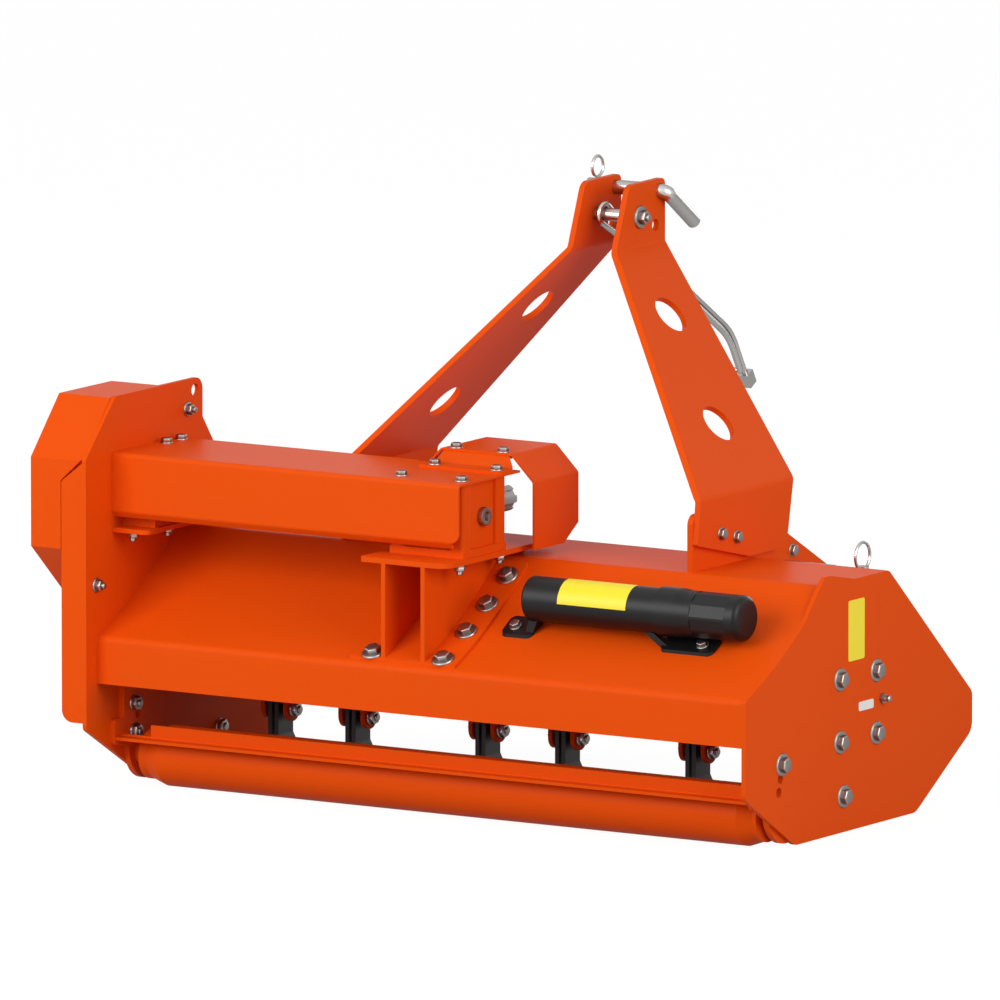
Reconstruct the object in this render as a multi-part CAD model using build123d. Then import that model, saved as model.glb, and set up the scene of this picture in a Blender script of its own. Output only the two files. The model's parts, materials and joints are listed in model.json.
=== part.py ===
"""Three-point mounted flail mower for topping pasture, with a rear roller, an offset belt drive and a mast.

Drawing frame: X to the right as seen from behind with zero midway between the side plates, Y forward to the
tractor with zero at the rotor axis, Z up with zero at the ground. Lengths are millimetres. The finished
pieces are moved so that the origin lies at the bottom centre of the whole machine's box.
"""
from build123d import *
import math
import os

# side plates
INSIDE_W = 980.0
SIDE_T = 6.0
REAR_Y = -282.0
REAR_LOW_Z = 75.0
FRONT_Y = 282.0
FRONT_HIGH_Z = 139.0
FRONT_LOW_Z = 89.0
SKID_FRONT_Y = 140.0
SKID_REAR_Y = -160.0
EAR_TIP_Y = -79.0
EAR_TIP_Z = 338.0
EAR_REAR_Y = -142.0
EAR_END_Y = -12.0
HEIGHT_HOLE_R = 6.5
HEIGHT_HOLES = ((-196.0, 91.0), (-200.0, 74.0))

# left plate, which also carries the belt drive
LEFT_REAR_Y = -307.0
LEFT_LOW_Z = 84.0
LEFT_SHOULDER_Z = 438.0
LEFT_SHOULDER_Y = -235.0
LEFT_TOP_Z = 513.0
LEFT_EAR_Y = -27.0
LEFT_EAR_LOW_Z = 460.0
LEFT_EAR_HOLE_R = 8.5
LEFT_FLANGE_W = 32.0
LEFT_FLANGE_CUT = 30.0

# hood sheet
HOOD_T = 4.0
DECK_Z = 326.0
BAND_LOW_Z = 142.0
BAND_TOP_Z = 203.0
STRIP_REAR_Y = -84.0
STRIP_FRONT_Y = 72.0
HOLLOW_SAG = 9.0
FRONT_SLOPE = -0.899
HOOD_FRONT_Y = 250.0
BEND_R = 6.0

# rotor, flails and rotor bearings
ROTOR_Z = 159.0
ROTOR_R = 44.5
ROTOR_GAP = 45.0
SHAFT_R = 15.0
SHAFT_GAP = 6.0
RUN_CLEARANCE = 0.05
LUG_R = 79.0
LUG_W = 32.0
LUG_T = 6.0
LUG_INNER = 14.0
BLADE_T = 6.0
BLADE_W = 36.0
BLADE_INNER = 2.0
BLADE_BEND_R = 112.0
BLADE_TIP_R = 139.0
BLADE_FLARE = 14.0
BLADE_HEAD = 17.0
FLAIL_BOLT_R = 8.0
FLAIL_BOLT_HALF = 20.0
BEARING_SIDE = 108.0
BEARING_FLANGE_T = 12.0
BEARING_BOSS_R = 40.0
BEARING_DEPTH = 32.0

# flails on the rotor: place along X as a share of the tube's half length, turn from straight down in degrees
FLAILS = (
    (-0.870, 0.0),
    (-0.602, 0.0),
    (-0.153, 0.0),
    (0.121, 0.0),
    (0.566, 0.0),
    (0.840, 0.0),
    (-0.735, 180.0),
    (-0.378, 180.0),
    (-0.016, 180.0),
    (0.344, 180.0),
    (0.703, 180.0),
    (0.928, 180.0),
)

# rear roller, its brackets and the scraper
ROLLER_R = 40.0
ROLLER_Y = -191.0
NECK_R = 33.0
CONE_L = 20.0
STUB_R = 14.0
STUB_GAP = 2.0
BRACKET_T = 8.0
BRACKET_TAB_Y = -252.0
BRACKET_TAB_Z = 90.0
BRACKET_REAR_Y = -229.0
BRACKET_FRONT_Y = -57.0
BRACKET_LOW_Z = 58.0
BRACKET_FRONT_LOW_Z = 92.0
BRACKET_TOP_Z = 165.0
BRACKET_EAR_R = 46.0
BRACKET_EAR_Y = -172.0
BRACKET_EAR_Z = 50.0
SCRAPER_T = 4.0
SCRAPER_REAR_Y = -250.0
SCRAPER_HEEL_Y = -235.0
SCRAPER_LOW_Z = 63.5
SCRAPER_TOP_Z = 85.0
SCRAPER_NOTCH = 45.0

# roller ends: side, gap from its plate, length of its neck
ROLLER_ENDS = (
    (1, 14.0, 6.0),
    (-1, 26.0, 12.0),
)

# gearbox on its stand
GEAR_X = -20.0
GEAR_W = 112.0
GEAR_REAR_Y = -226.0
GEAR_D = 104.0
GEAR_H = 97.0
GEAR_COLUMN = 22.0
GEAR_RECESS = 6.0
GEAR_FOOT_T = 10.0
SHELF_LOW_Z = 334.0
SHELF_T = 7.0
SHELF_X = -26.0
SHELF_W = 132.0
SHELF_REAR_Y = -272.0
SHELF_FRONT_Y = -8.0
SHELF_CORNER_R = 22.0
RIB_FRONT_Y = -30.0
RIB_T = 6.0
RIB_X = (-57.0, 3.0)
BASE_T = 4.0
BASE_W = 160.0
BASE_X = -27.0
BASE_FRONT_Y = -95.0

# splined stub and its guard
PTO_RISE = 51.0
PTO_R = 17.5
PTO_SPLINES = 6
PTO_GROOVE_W = 8.5
PTO_GROOVE_D = 3.0
PTO_END_Y = -33.0
PTO_CAP_R = 34.0
PTO_CAP_L = 18.0
PTO_DEPTH = 30.0
GUARD_T = 3.0
GUARD_X = -25.0
GUARD_TOP_HALF = 54.0
GUARD_CHAMFER = 34.0
GUARD_TOP_Z = 461.0
GUARD_LOW_Z = 338.0
GUARD_REAR_Y = -96.0
GUARD_FRONT_Y = 12.0
GUARD_CUT_Y = 37.0
GUARD_CUT_Z = 24.0
FOOT_T = 4.0
FOOT_REAR_Y = -146.0
FOOT_RISER_Y = -114.0
FOOT_FRONT_Y = -64.0
FOOT_LEFT_X = -82.0
FOOT_RIGHT_X = 42.0
FOOT_CORNER_R = 12.0

# beam cover, drive tube and left shelf
BEAM_T = 3.0
BEAM_RIGHT_X = 42.0
BEAM_REAR_Y = -247.0
BEAM_FRONT_Y = -84.0
BEAM_TOP_Z = 441.0
BEAM_LOW_Z = 364.0
BEAM_LIP = 8.0
BEAM_OPEN = 95.0
BEAM_CORNER_R = 13.0
DRIVE_R = 28.0
LEFT_SHELF_Z = 342.0
LEFT_SHELF_T = 6.0
LEFT_SHELF_L = 55.0
LEFT_SHELF_REAR_Y = -245.0
LEFT_SHELF_FRONT_Y = -75.0
DRIVE_BLOCK_L = 50.0
DRIVE_BLOCK_W = 90.0
DRIVE_BLOCK_TOP = 40.0

# belt cover outside the left plate: outline as (Y, Z)
COVER_DEPTH = 79.0
COVER_T = 3.0
COVER_GAP = 1.0
COVER_RIM = 16.0
COVER_OUTLINE = (
    (-307.0, 319.0),
    (-307.0, 436.0),
    (-239.0, 511.0),
    (-114.0, 511.0),
    (-50.0, 445.0),
    (130.0, 215.0),
    (130.0, 110.0),
    (70.0, 50.0),
    (-50.0, 50.0),
    (-110.0, 118.0),
    (-236.0, 255.0),
)

# mast arms, brackets and pins
HITCH_X = 25.0
MAST_T = 8.0
MAST_TOP_HALF = 37.5
MAST_FOOT_HALF = 275.5
MAST_HIGH_Z = 703.0
MAST_LOW_Z = 420.0
MAST_OUTLINE = (
    (106.0, 703.0, 8.0),
    (138.0, 785.0, 16.0),
    (226.0, 786.0, 9.0),
    (226.0, 703.0, 8.0),
    (157.0, 420.0, 8.0),
    (143.0, 348.0, 8.0),
    (120.0, 331.0, 5.0),
    (49.0, 331.0, 5.0),
    (-80.0, 361.0, 3.0),
    (-73.0, 420.0, 8.0),
)
MAST_HOLE_R = 26.5
MAST_HOLES_Z = (623.0, 496.0)
BRACE_T = 8.0
BRACE_REAR_Y = -80.0
BRACE_TOP_Z = 400.0
BRACE_TOP_Y = 120.0
BRACE_KNEE_Y = 156.0
BRACE_KNEE_Z = 346.0
BRACE_NOSE_Y = 259.0
BRACE_NOSE_Z = 290.0
BRACE_NOSE_H = 50.0
BRACE_FOOT_Y = 225.0
TOP_PIN_Y = 212.0
TOP_PIN_Z = 770.0
TOP_PIN_R = 9.5
TOP_PIN_LEFT = 70.0
TOP_PIN_RIGHT = 47.5
TOP_PIN_TIP_Y = 281.0
TOP_PIN_TIP_Z = 722.0
TOP_PIN_BEND_R = 10.0
SPARE_HOLE = (202.0, 726.0)
SPARE_HOLE_R = 8.0
SPACER_Y = 164.0
SPACER_Z = 741.0
SPACER_R = 8.5
CLIP_X = 57.0
CLIP_WIRE_R = 2.0
CLIP_RING_R = 13.5
LINK_Y = 147.0
LINK_Z = 293.0
LINK_R = 11.0
LINK_SHOULDER = 341.5
LINK_END = 402.0
LINK_COLLAR_R = 19.0
LINK_NUT_R = 17.0
LINK_NUT_T = 14.0
LINCH_X = 386.0
LINCH_R = 5.0
LINCH_HEAD_R = 8.0
LINCH_HEAD_H = 10.0
LINCH_RING_R = 18.0
LINCH_WIRE_R = 2.0
LINCH_HOLE_CLEARANCE = 0.1

# shaft rest hook: (Y, Z) of the bar's corners after the spacer
HOOK_R = 4.0
HOOK_LEGS_HALF = 5.0
HOOK_JOIN = 95.0
HOOK_JOIN_R = 60.0
HOOK_X = 8.0
HOOK_CLEARANCE = 0.5
HOOK_CORNER = (477.0, 545.0)
HOOK_END = (517.0, 476.0)
HOOK_BEND_R = 90.0
HOOK_SHORT = 24.0
HOOK_STUB_L = 10.0
HOOK_BLOCK = 16.0
HOOK_BLOCK_L = 20.0

# document tube
TUBE_R = 29.5
TUBE_Y = -190.0
TUBE_Z = 293.0
TUBE_LEFT_X = 118.0
TUBE_RIGHT_X = 443.0
COLLAR_LEFT_X = 316.0
COLLAR_RIGHT_X = 346.0
COLLAR_R = 32.0
COLLAR_CONE_L = 14.0
GRIP_R = 30.2
GRIP_FLATS = 10
GRIP_DEPTH = 1.0
GRIP_LEFT_X = 372.0
GRIP_RIGHT_X = 424.0
CAP_ROUND = 9.0
TAB_T = 4.0
TAB_REAR_Y = -204.0
TAB_FRONT_Y = -173.0
TAB_CORNER_R = 8.0
WEB_INSET = 6.0

# tube feet: tab from X to X, then the web from X to X where it leaves the tab and where it meets the tube
TUBE_FEET = (
    (78.0, 124.0, 111.0, 123.0, 120.0, 132.0),
    (318.0, 397.0, 319.0, 333.0, 285.0, 299.0),
)

PLATE_RIGHT_X = INSIDE_W / 2
PLATE_LEFT_X = -INSIDE_W / 2
ROLLER_Z = ROLLER_R
ROTOR_HALF = INSIDE_W / 2 - ROTOR_GAP
SHAFT_HALF = INSIDE_W / 2 - SHAFT_GAP
STUB_HALF = INSIDE_W / 2 - STUB_GAP
SHELF_TOP_Z = SHELF_LOW_Z + SHELF_T
PTO_Z = SHELF_TOP_Z + PTO_RISE
DRIVE_Y = GEAR_REAR_Y + GEAR_D / 2
HOLLOW_CHORD = math.hypot(STRIP_REAR_Y - REAR_Y, DECK_Z - BAND_TOP_Z)
HOLLOW_R = HOLLOW_CHORD ** 2 / (8 * HOLLOW_SAG) + HOLLOW_SAG / 2
HOLLOW_TILT = math.atan2(DECK_Z - BAND_TOP_Z, STRIP_REAR_Y - REAR_Y)
HOLLOW_Y = (REAR_Y + STRIP_REAR_Y) / 2 - (HOLLOW_R - HOLLOW_SAG) * math.sin(HOLLOW_TILT)
HOLLOW_Z = (BAND_TOP_Z + DECK_Z) / 2 + (HOLLOW_R - HOLLOW_SAG) * math.cos(HOLLOW_TILT)

NODES = {}


def keep(name, shape):
    """Store a finished piece under its node name."""
    NODES[name] = shape


def polygon(points):
    """Closed face with sharp corners."""
    return make_face(Polyline(*points, close=True))


def rounded(points):
    """Closed face through (u, v, corner radius) points."""
    corners = [(u, v) for u, v, r in points]
    return make_face(FilletPolyline(*corners, radius=[r for u, v, r in points], close=True))


def across(face, start, end):
    """Solid between two places along X, from a face drawn in (Y, Z)."""
    return extrude(Plane.YZ.offset(start) * face, amount=end - start)


def along(face, start, end):
    """Solid between two places along Y, from a face drawn in (X, Z)."""
    return extrude(Plane.XZ.offset(-start) * face, amount=start - end)


def upright(face, low, high):
    """Solid between two heights, from a face drawn in (X, Y)."""
    return extrude(Plane.XY.offset(low) * face, amount=high - low)


def rod(start, end, radius):
    """Round bar between two points."""
    a = Vector(*start)
    b = Vector(*end)
    bar = Cylinder(radius, (b - a).length, align=(Align.CENTER, Align.CENTER, Align.MIN))
    return Plane(origin=a, z_dir=b - a) * bar


def block(x0, x1, y0, y1, z0, z1):
    """Block between two corners."""
    return Pos((x0 + x1) / 2, (y0 + y1) / 2, (z0 + z1) / 2) * Box(x1 - x0, y1 - y0, z1 - z0)


def moved_right(points, distance):
    """Open run of points moved to its right side by a distance, corner by corner."""
    out = []
    for i, point in enumerate(points):
        if 0 < i < len(points) - 1:
            sides = [(points[i - 1], point), (point, points[i + 1])]
        elif i == 0:
            sides = [(point, points[1])]
        else:
            sides = [(points[i - 1], point)]
        nu = 0.0
        nv = 0.0
        for a, b in sides:
            length = math.hypot(b[0] - a[0], b[1] - a[1])
            nu += (b[1] - a[1]) / length
            nv -= (b[0] - a[0]) / length
        scale = len(sides) * distance / (nu * nu + nv * nv)
        out.append((point[0] + nu * scale, point[1] + nv * scale))
    return out


def folded(points, thickness, radius):
    """Face of a folded sheet: the points are its left side, the radius is that of its inner bends."""
    other = moved_right(points, thickness)
    left_radii = []
    right_radii = []
    for a, b, c in zip(points, points[1:], points[2:]):
        turn = (b[0] - a[0]) * (c[1] - b[1]) - (b[1] - a[1]) * (c[0] - b[0])
        left_radii.append(radius if turn > 0 else radius + thickness)
        right_radii.append(radius + thickness if turn > 0 else radius)
    left = FilletPolyline(*points, radius=left_radii)
    right = FilletPolyline(*other, radius=right_radii)
    return make_face(left.edges() + right.edges() + [Line(points[0], other[0]), Line(points[-1], other[-1])])


def front_line(y):
    """Height of the hood's front slope at a place along Y."""
    return DECK_Z + FRONT_SLOPE * (y - STRIP_FRONT_Y)


def above_hollow(lift):
    """Disc, in (Y, Z), of all that lies above the hood's hollow slope by the lift or more."""
    return Pos(HOLLOW_Y, HOLLOW_Z) * Circle(HOLLOW_R - lift)


def under_hood():
    """Face, in (Y, Z), of all that the hood covers, its own thickness included."""
    solid = polygon([
        (REAR_Y, 0),
        (REAR_Y, BAND_TOP_Z),
        (STRIP_REAR_Y, DECK_Z),
        (STRIP_FRONT_Y, DECK_Z),
        (HOOD_FRONT_Y, front_line(HOOD_FRONT_Y)),
        (HOOD_FRONT_Y, 0),
    ])
    return solid - above_hollow(0)


def low_corners():
    """Corners that both side plates share below: nose and skid."""
    return [
        (FRONT_Y, FRONT_HIGH_Z, 12.0),
        (FRONT_Y, FRONT_LOW_Z, 22.0),
        (SKID_FRONT_Y, 0.0, 24.0),
        (SKID_REAR_Y, 0.0, 24.0),
    ]


def left_plate_face():
    """Outline of the tall left plate in (Y, Z)."""
    return rounded([
        (LEFT_REAR_Y, LEFT_LOW_Z, 8.0),
        (LEFT_REAR_Y, LEFT_SHOULDER_Z, 6.0),
        (LEFT_SHOULDER_Y, LEFT_TOP_Z, 8.0),
        (LEFT_EAR_Y, LEFT_TOP_Z, 16.0),
        (LEFT_EAR_Y, LEFT_EAR_LOW_Z, 8.0),
        (STRIP_FRONT_Y, DECK_Z, 14.0),
    ] + low_corners())


def make_side_plates():
    """The low right plate with its ear, and the tall left plate with its outward rear flange."""
    right = rounded([
        (REAR_Y, REAR_LOW_Z, 14.0),
        (REAR_Y, BAND_TOP_Z, 6.0),
        (STRIP_REAR_Y, DECK_Z, 3.0),
        (STRIP_FRONT_Y, DECK_Z, 14.0),
    ] + low_corners()) - above_hollow(0)
    right += rounded([
        (EAR_REAR_Y, DECK_Z - 46.0, 1.0),
        (EAR_TIP_Y - 8.0, EAR_TIP_Z, 6.0),
        (EAR_TIP_Y + 4.0, EAR_TIP_Z, 4.0),
        (EAR_END_Y, DECK_Z, 10.0),
        (EAR_END_Y, DECK_Z - 30.0, 1.0),
        (EAR_TIP_Y, DECK_Z - 46.0, 1.0),
    ])
    plate = across(right, PLATE_RIGHT_X, PLATE_RIGHT_X + SIDE_T)
    for hole_y, hole_z in HEIGHT_HOLES:
        plate -= rod(
            (PLATE_RIGHT_X - 1, hole_y, hole_z), (PLATE_RIGHT_X + SIDE_T + 1, hole_y, hole_z), HEIGHT_HOLE_R
        )
    keep("side_plate_right", plate)

    face_x = PLATE_LEFT_X - SIDE_T
    plate = across(left_plate_face(), face_x, PLATE_LEFT_X)
    hole = (LEFT_EAR_Y - 18.0, LEFT_TOP_Z - 16.0)
    plate -= rod((face_x - 1, hole[0], hole[1]), (PLATE_LEFT_X + 1, hole[0], hole[1]), LEFT_EAR_HOLE_R)
    flange_x = face_x - LEFT_FLANGE_W
    flange = rounded([
        (PLATE_LEFT_X, LEFT_LOW_Z + 8.0, 0.5),
        (PLATE_LEFT_X, LEFT_SHOULDER_Z, 0.5),
        (flange_x, LEFT_SHOULDER_Z - LEFT_FLANGE_CUT, 5.0),
        (flange_x, LEFT_LOW_Z + 8.0, 16.0),
    ])
    keep("side_plate_left", plate + along(flange, LEFT_REAR_Y, LEFT_REAR_Y + SIDE_T))


def make_hood():
    """One bent sheet: rear band, hollow slope, top strip and front slope."""
    outer_r = HOLLOW_R + HOOD_T
    inner_y = REAR_Y + HOOD_T
    inner_z = DECK_Z - HOOD_T
    band_z = HOLLOW_Z - math.sqrt(outer_r ** 2 - (inner_y - HOLLOW_Y) ** 2)
    strip_y = HOLLOW_Y + math.sqrt(outer_r ** 2 - (inner_z - HOLLOW_Z) ** 2)
    front_z = front_line(HOOD_FRONT_Y)
    fold = moved_right([(STRIP_REAR_Y, DECK_Z), (STRIP_FRONT_Y, DECK_Z), (HOOD_FRONT_Y, front_z)], HOOD_T)
    edges = [
        Line((REAR_Y, BAND_LOW_Z), (REAR_Y, BAND_TOP_Z)),
        RadiusArc((REAR_Y, BAND_TOP_Z), (STRIP_REAR_Y, DECK_Z), -HOLLOW_R),
        Line((STRIP_REAR_Y, DECK_Z), (STRIP_FRONT_Y, DECK_Z)),
        Line((STRIP_FRONT_Y, DECK_Z), (HOOD_FRONT_Y, front_z)),
        Line((HOOD_FRONT_Y, front_z), fold[2]),
        Line(fold[2], fold[1]),
        Line(fold[1], (strip_y, inner_z)),
        RadiusArc((strip_y, inner_z), (inner_y, band_z), outer_r),
        Line((inner_y, band_z), (inner_y, BAND_LOW_Z)),
        Line((inner_y, BAND_LOW_Z), (REAR_Y, BAND_LOW_Z)),
    ]
    face = make_face(edges)
    inner_bends = [(inner_y, band_z), (strip_y, inner_z), fold[1]]
    outer_bends = [(REAR_Y, BAND_TOP_Z), (STRIP_REAR_Y, DECK_Z), (STRIP_FRONT_Y, DECK_Z)]
    for bends, radius in ((inner_bends, BEND_R), (outer_bends, BEND_R + HOOD_T)):
        corners = [v for v in face.vertices() if any(math.hypot(v.X - y, v.Y - z) < 0.01 for y, z in bends)]
        face = fillet(corners, radius)
    keep("hood", across(face, PLATE_LEFT_X, PLATE_RIGHT_X))


def make_rotor():
    """Rotor tube with lug pairs on a through shaft, its flail blades and the two flange bearings."""
    rotor = rod((-ROTOR_HALF, 0, ROTOR_Z), (ROTOR_HALF, 0, ROTOR_Z), ROTOR_R)
    rotor += rod((-SHAFT_HALF, 0, ROTOR_Z), (SHAFT_HALF, 0, ROTOR_Z), SHAFT_R)
    half = LUG_W / 2
    root = -ROTOR_R + 8.0
    ear = make_face([
        Line((-half, -LUG_R), (-half, root)),
        Line((-half, root), (half, root)),
        Line((half, root), (half, -LUG_R)),
        ThreePointArc((half, -LUG_R), (0, -LUG_R - half), (-half, -LUG_R)),
    ])
    ears = [across(ear, LUG_INNER, LUG_INNER + LUG_T), across(ear, -LUG_INNER - LUG_T, -LUG_INNER)]
    outer = BLADE_INNER + BLADE_T
    strip = folded([
        (outer, -LUG_R + BLADE_HEAD),
        (outer, -BLADE_BEND_R),
        (outer + BLADE_FLARE, -BLADE_TIP_R),
    ], BLADE_T, 4.0)
    blade = along(strip, -BLADE_W / 2, BLADE_W / 2)
    bolt = rod((-FLAIL_BOLT_HALF, 0, -LUG_R), (FLAIL_BOLT_HALF, 0, -LUG_R), FLAIL_BOLT_R)
    flail = blade + mirror(blade, about=Plane.YZ) + bolt
    hole = rod((-FLAIL_BOLT_HALF - 1, 0, -LUG_R), (FLAIL_BOLT_HALF + 1, 0, -LUG_R), FLAIL_BOLT_R + RUN_CLEARANCE)
    ears = [one - hole for one in ears]
    flails = []
    for share, turn in FLAILS:
        place = Pos(share * ROTOR_HALF, 0, ROTOR_Z) * Rot(turn, 0, 0)
        rotor += [place * one for one in ears]
        flails.append(place * flail)
    keep("rotor", rotor)
    keep("flails", Compound(flails))

    half = BEARING_SIDE / 2
    square = rounded([
        (-half, ROTOR_Z - half, 16.0),
        (half, ROTOR_Z - half, 16.0),
        (half, ROTOR_Z + half, 16.0),
        (-half, ROTOR_Z + half, 16.0),
    ])
    bearing = across(square, PLATE_RIGHT_X - BEARING_FLANGE_T, PLATE_RIGHT_X)
    bearing += rod((PLATE_RIGHT_X - BEARING_DEPTH, 0, ROTOR_Z), (PLATE_RIGHT_X, 0, ROTOR_Z), BEARING_BOSS_R)
    bearing -= rod(
        (PLATE_RIGHT_X - BEARING_DEPTH - 1, 0, ROTOR_Z), (PLATE_RIGHT_X + 1, 0, ROTOR_Z), SHAFT_R + RUN_CLEARANCE
    )
    keep("rotor_bearing_right", bearing)
    keep("rotor_bearing_left", mirror(bearing, about=Plane.YZ))


def make_roller():
    """Rear roller with coned ends, its two brackets and the scraper bar."""
    halves = []
    for side, gap, neck_length in ROLLER_ENDS:
        end = INSIDE_W / 2 - gap
        neck = end - neck_length
        half = revolve(Plane.XZ * polygon([
            (0, 0),
            (STUB_HALF, 0),
            (STUB_HALF, STUB_R),
            (end, STUB_R),
            (end, NECK_R),
            (neck, NECK_R),
            (neck - CONE_L, ROLLER_R),
            (0, ROLLER_R),
        ]), Axis.X)
        halves.append(half if side > 0 else mirror(half, about=Plane.YZ))
    keep("roller", Pos(0, ROLLER_Y, ROLLER_Z) * (halves[0] + halves[1]))

    outline = rounded([
        (BRACKET_TAB_Y, BRACKET_LOW_Z, 6.0),
        (BRACKET_TAB_Y, BRACKET_TAB_Z, 6.0),
        (BRACKET_REAR_Y, BRACKET_TAB_Z, 3.0),
        (BRACKET_REAR_Y, BRACKET_TOP_Z, 12.0),
        (BRACKET_FRONT_Y, BRACKET_TOP_Z, 12.0),
        (BRACKET_FRONT_Y, BRACKET_FRONT_LOW_Z, 12.0),
        (BRACKET_EAR_Y + BRACKET_EAR_R - 4.0, BRACKET_EAR_Z, 4.0),
        (BRACKET_EAR_Y - BRACKET_EAR_R + 4.0, BRACKET_EAR_Z, 4.0),
    ])
    outline += Pos(BRACKET_EAR_Y, BRACKET_EAR_Z) * Circle(BRACKET_EAR_R)
    outline -= Pos(ROLLER_Y, ROLLER_Z) * Circle(STUB_R + RUN_CLEARANCE)
    bracket = across(outline, PLATE_RIGHT_X - BRACKET_T, PLATE_RIGHT_X)
    for hole_y, hole_z in HEIGHT_HOLES:
        bracket -= rod(
            (PLATE_RIGHT_X - BRACKET_T - 1, hole_y, hole_z), (PLATE_RIGHT_X + 1, hole_y, hole_z), HEIGHT_HOLE_R
        )
    keep("roller_bracket_right", bracket)
    keep("roller_bracket_left", mirror(bracket, about=Plane.YZ))

    bar = folded([
        (SCRAPER_REAR_Y, SCRAPER_LOW_Z + SCRAPER_T),
        (SCRAPER_HEEL_Y, SCRAPER_LOW_Z + SCRAPER_T),
        (SCRAPER_HEEL_Y, SCRAPER_TOP_Z),
    ], SCRAPER_T, 2.0)
    left = PLATE_LEFT_X + BRACKET_T
    notch_z = SCRAPER_LOW_Z + SCRAPER_T * 1.6
    notch = block(
        left - 1, left + SCRAPER_NOTCH, SCRAPER_HEEL_Y - 20, SCRAPER_HEEL_Y + 20, notch_z, SCRAPER_TOP_Z + 1
    )
    keep("scraper", across(bar, left, PLATE_RIGHT_X - BRACKET_T) - notch)


def make_gearbox():
    """Stand on the hood, gearbox casting and splined input stub."""
    left = BASE_X - BASE_W / 2
    sheet = above_hollow(0) - above_hollow(BASE_T)
    window = polygon([
        (SHELF_REAR_Y - 2.0, 0),
        (SHELF_REAR_Y - 2.0, DECK_Z),
        (BASE_FRONT_Y, DECK_Z),
        (BASE_FRONT_Y, 0),
    ])
    stand = across(sheet & window, left, left + BASE_W)
    rib = polygon([
        (SHELF_REAR_Y, 0),
        (SHELF_REAR_Y, SHELF_LOW_Z),
        (RIB_FRONT_Y, SHELF_LOW_Z),
        (RIB_FRONT_Y, DECK_Z),
        (STRIP_REAR_Y, DECK_Z),
        (STRIP_REAR_Y, 0),
    ])
    bare = polygon([
        (BASE_FRONT_Y, DECK_Z - BASE_T * 3),
        (BASE_FRONT_Y, SHELF_LOW_Z),
        (RIB_FRONT_Y, SHELF_LOW_Z),
        (RIB_FRONT_Y, DECK_Z - BASE_T * 3),
    ])
    over_hood = bare - under_hood()
    rib = (rib & above_hollow(BASE_T / 2)) + over_hood.faces().sort_by(SortBy.AREA)[-1]
    for x in RIB_X:
        stand += across(rib, x - RIB_T / 2, x + RIB_T / 2)
    shelf = rounded([
        (SHELF_X - SHELF_W / 2, SHELF_REAR_Y, 4.0),
        (SHELF_X + SHELF_W / 2, SHELF_REAR_Y, SHELF_CORNER_R),
        (SHELF_X + SHELF_W / 2, SHELF_FRONT_Y, 8.0),
        (SHELF_X - SHELF_W / 2, SHELF_FRONT_Y, 8.0),
    ])
    keep("gearbox_stand", stand + upright(shelf, SHELF_LOW_Z, SHELF_TOP_Z))

    x0 = GEAR_X - GEAR_W / 2
    x1 = GEAR_X + GEAR_W / 2
    y1 = GEAR_REAR_Y + GEAR_D
    top = SHELF_TOP_Z + GEAR_H
    gear = block(
        x0 + GEAR_RECESS, x1 - GEAR_RECESS, GEAR_REAR_Y + GEAR_RECESS, y1 - GEAR_RECESS, SHELF_TOP_Z, top
    )
    gear += block(x0, x1, GEAR_REAR_Y, y1, SHELF_TOP_Z, SHELF_TOP_Z + GEAR_FOOT_T)
    for cx in (x0, x1 - GEAR_COLUMN):
        for cy in (GEAR_REAR_Y, y1 - GEAR_COLUMN):
            column = upright(
                rounded([
                    (cx, cy, 5.0),
                    (cx + GEAR_COLUMN, cy, 5.0),
                    (cx + GEAR_COLUMN, cy + GEAR_COLUMN, 5.0),
                    (cx, cy + GEAR_COLUMN, 5.0),
                ]), SHELF_TOP_Z, top
            )
            gear += column
    cap_y = y1 + PTO_CAP_L
    gear += rod((GEAR_X, y1 - GEAR_COLUMN, PTO_Z), (GEAR_X, cap_y, PTO_Z), PTO_CAP_R)
    gear -= rod((GEAR_X, cap_y - PTO_DEPTH, PTO_Z), (GEAR_X, cap_y + 1, PTO_Z), PTO_R + RUN_CLEARANCE)
    keep("gearbox", gear)

    stub = rod((GEAR_X, cap_y - PTO_DEPTH + 2.0, PTO_Z), (GEAR_X, PTO_END_Y, PTO_Z), PTO_R)
    groove = block(
        -PTO_GROOVE_W / 2, PTO_GROOVE_W / 2, cap_y + 6.0, PTO_END_Y + 1, PTO_R - PTO_GROOVE_D, PTO_R + 2
    )
    for i in range(PTO_SPLINES):
        stub -= Pos(GEAR_X, 0, PTO_Z) * Rot(0, 360.0 / PTO_SPLINES * i, 0) * groove
    keep("pto_stub", stub)


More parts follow.
